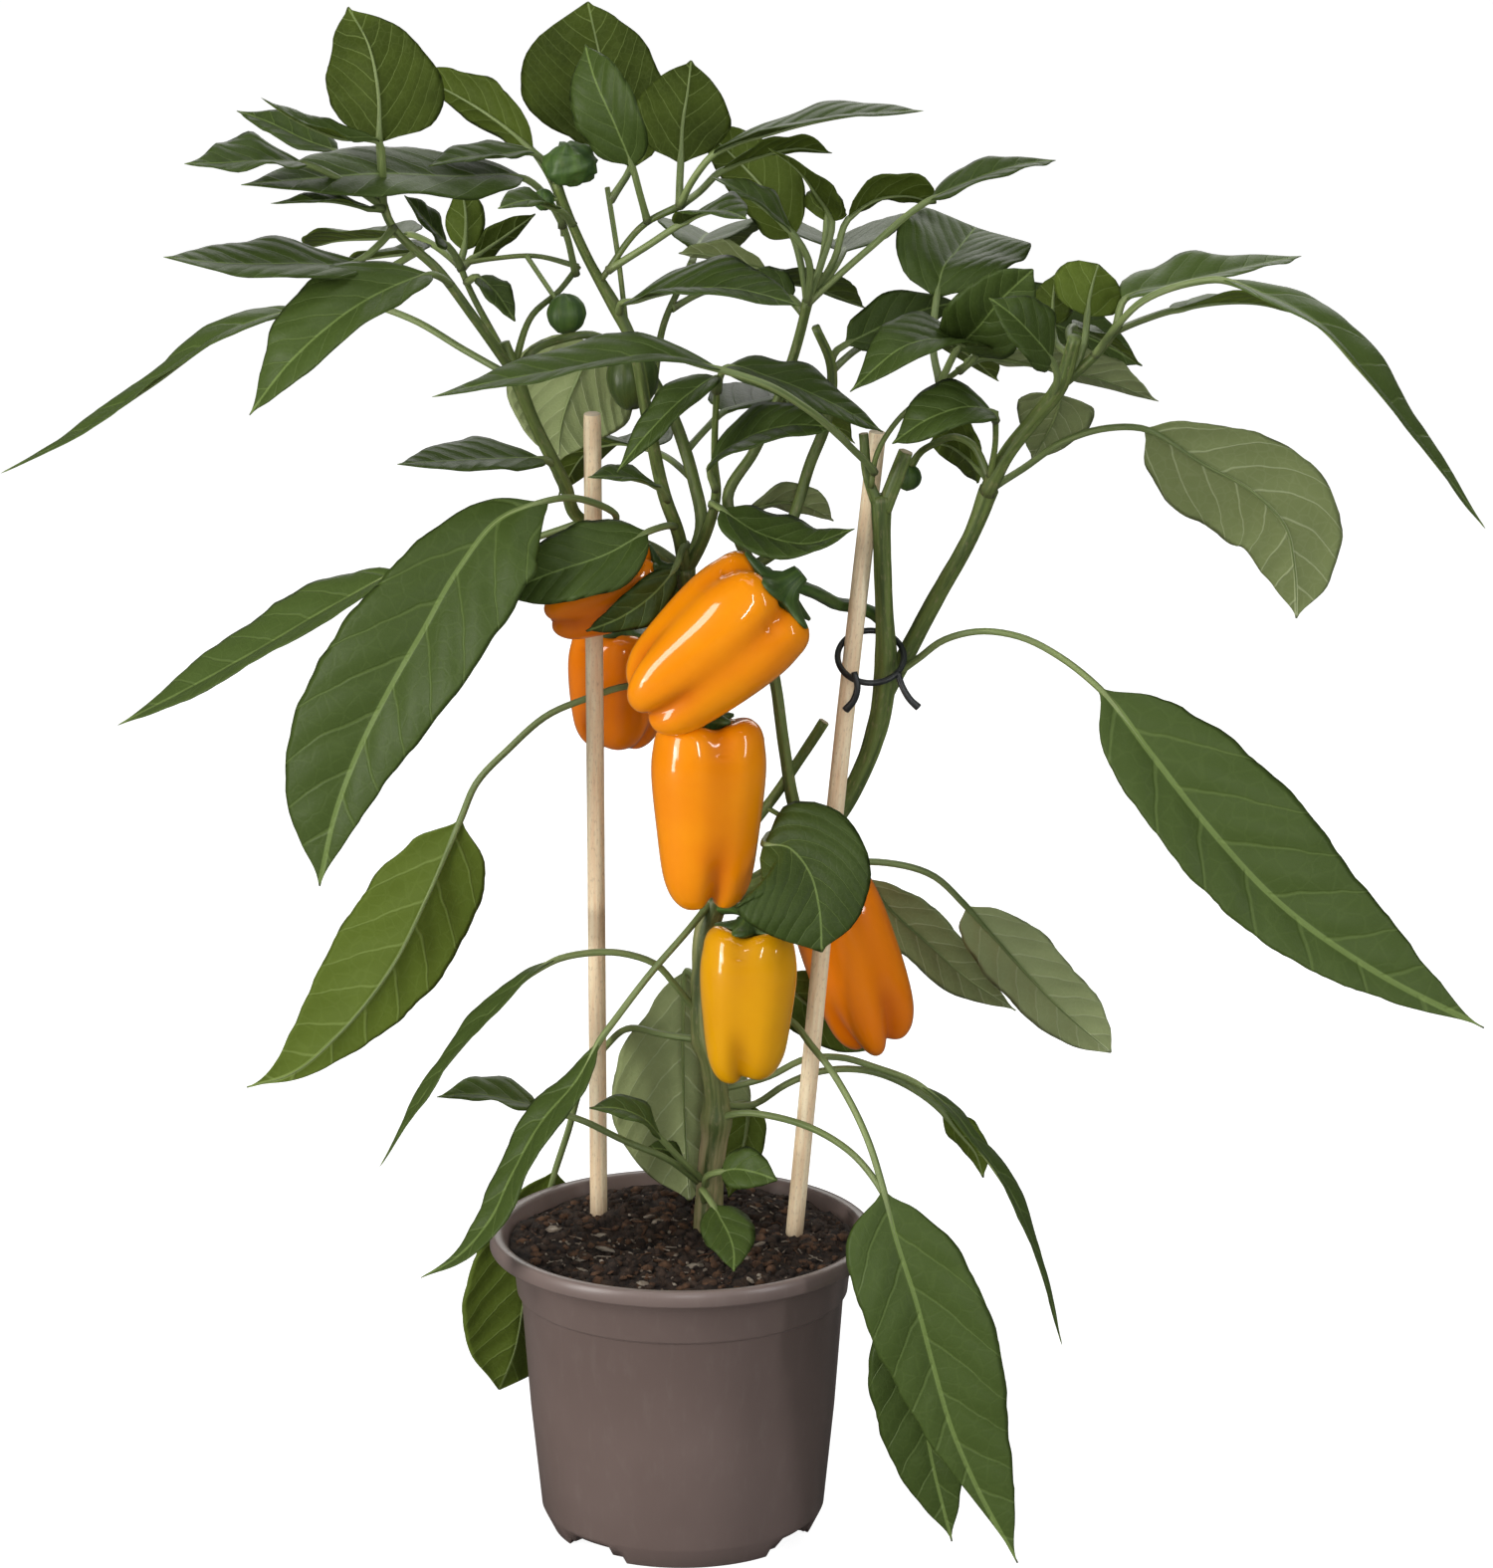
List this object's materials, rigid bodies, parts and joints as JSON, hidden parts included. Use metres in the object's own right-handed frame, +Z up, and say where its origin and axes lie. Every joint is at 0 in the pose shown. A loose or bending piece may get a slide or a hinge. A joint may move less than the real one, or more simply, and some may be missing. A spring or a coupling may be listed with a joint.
{
  "type": "potted bell pepper plant",
  "caption": "Bell pepper plant with ripe orange fruits and long drooping leaves, held by canes and a stem clip in a tapered plastic nursery pot of soil.",
  "frame": {"origin": "middle of the pot's underside, on the surface it stands on", "axes": "+Z up along the pot's axis, -Y towards the viewer, +X to the viewer's right"},
  "size_m": [0.5635, 0.3098, 0.6017],
  "materials": {
    "pot": "satin taupe",
    "soil": "dark crumbly potting soil",
    "cane": "pale dry wood",
    "clip": "dark plastic",
    "stem": "ribbed green stem",
    "leaf": "satin dark green",
    "pale_leaf": "matt pale underside",
    "fruit": "glossy orange skin",
    "calyx": "satin green"
  },
  "bodies": {
    "root": {"pot": "pot", "soil": "soil", "cane_left": "cane", "cane_right": "cane", "stem_clip": "clip", "main_stem": "stem", "pepper_top_left": "fruit", "pepper_top_left_cap": "calyx", "pepper_behind_cane": "fruit", "pepper_behind_cane_cap": "calyx", "pepper_tilted": "fruit", "pepper_tilted_cap": "calyx", "pepper_middle": "fruit", "pepper_middle_cap": "calyx", "pepper_low": "fruit", "pepper_low_cap": "calyx", "pepper_right": "fruit", "pepper_right_cap": "calyx", "shoot_middle": "leaf", "shoot_back": "leaf", "shoot_inner": "leaf", "shoot_fork": "leaf", "shoot_left": "leaf", "shoot_right": "leaf", "leaf_left_large": "leaf", "leaf_over_fruit": "leaf", "leaf_under_fruit": "leaf", "leaf_left_arching": "leaf", "leaf_left_hanging": "pale_leaf", "leaf_left_narrow": "leaf", "leaf_left_draped": "leaf", "leaf_left_small": "leaf", "leaf_left_behind": "pale_leaf", "leaf_behind_trunk": "pale_leaf", "leaf_behind_right": "pale_leaf", "leaf_front_middle": "leaf", "leaf_behind_middle": "pale_leaf", "leaf_right_pale": "pale_leaf", "leaf_right_inner": "pale_leaf", "leaf_right_large": "leaf", "leaf_right_front": "leaf", "leaf_right_under": "leaf", "leaf_right_trailing": "leaf", "leaf_right_folded": "pale_leaf", "leaf_base_narrow": "leaf", "leaf_base_short": "leaf", "leaf_base_right": "leaf", "leaf_base_front": "leaf"}
  },
  "joints": []
}
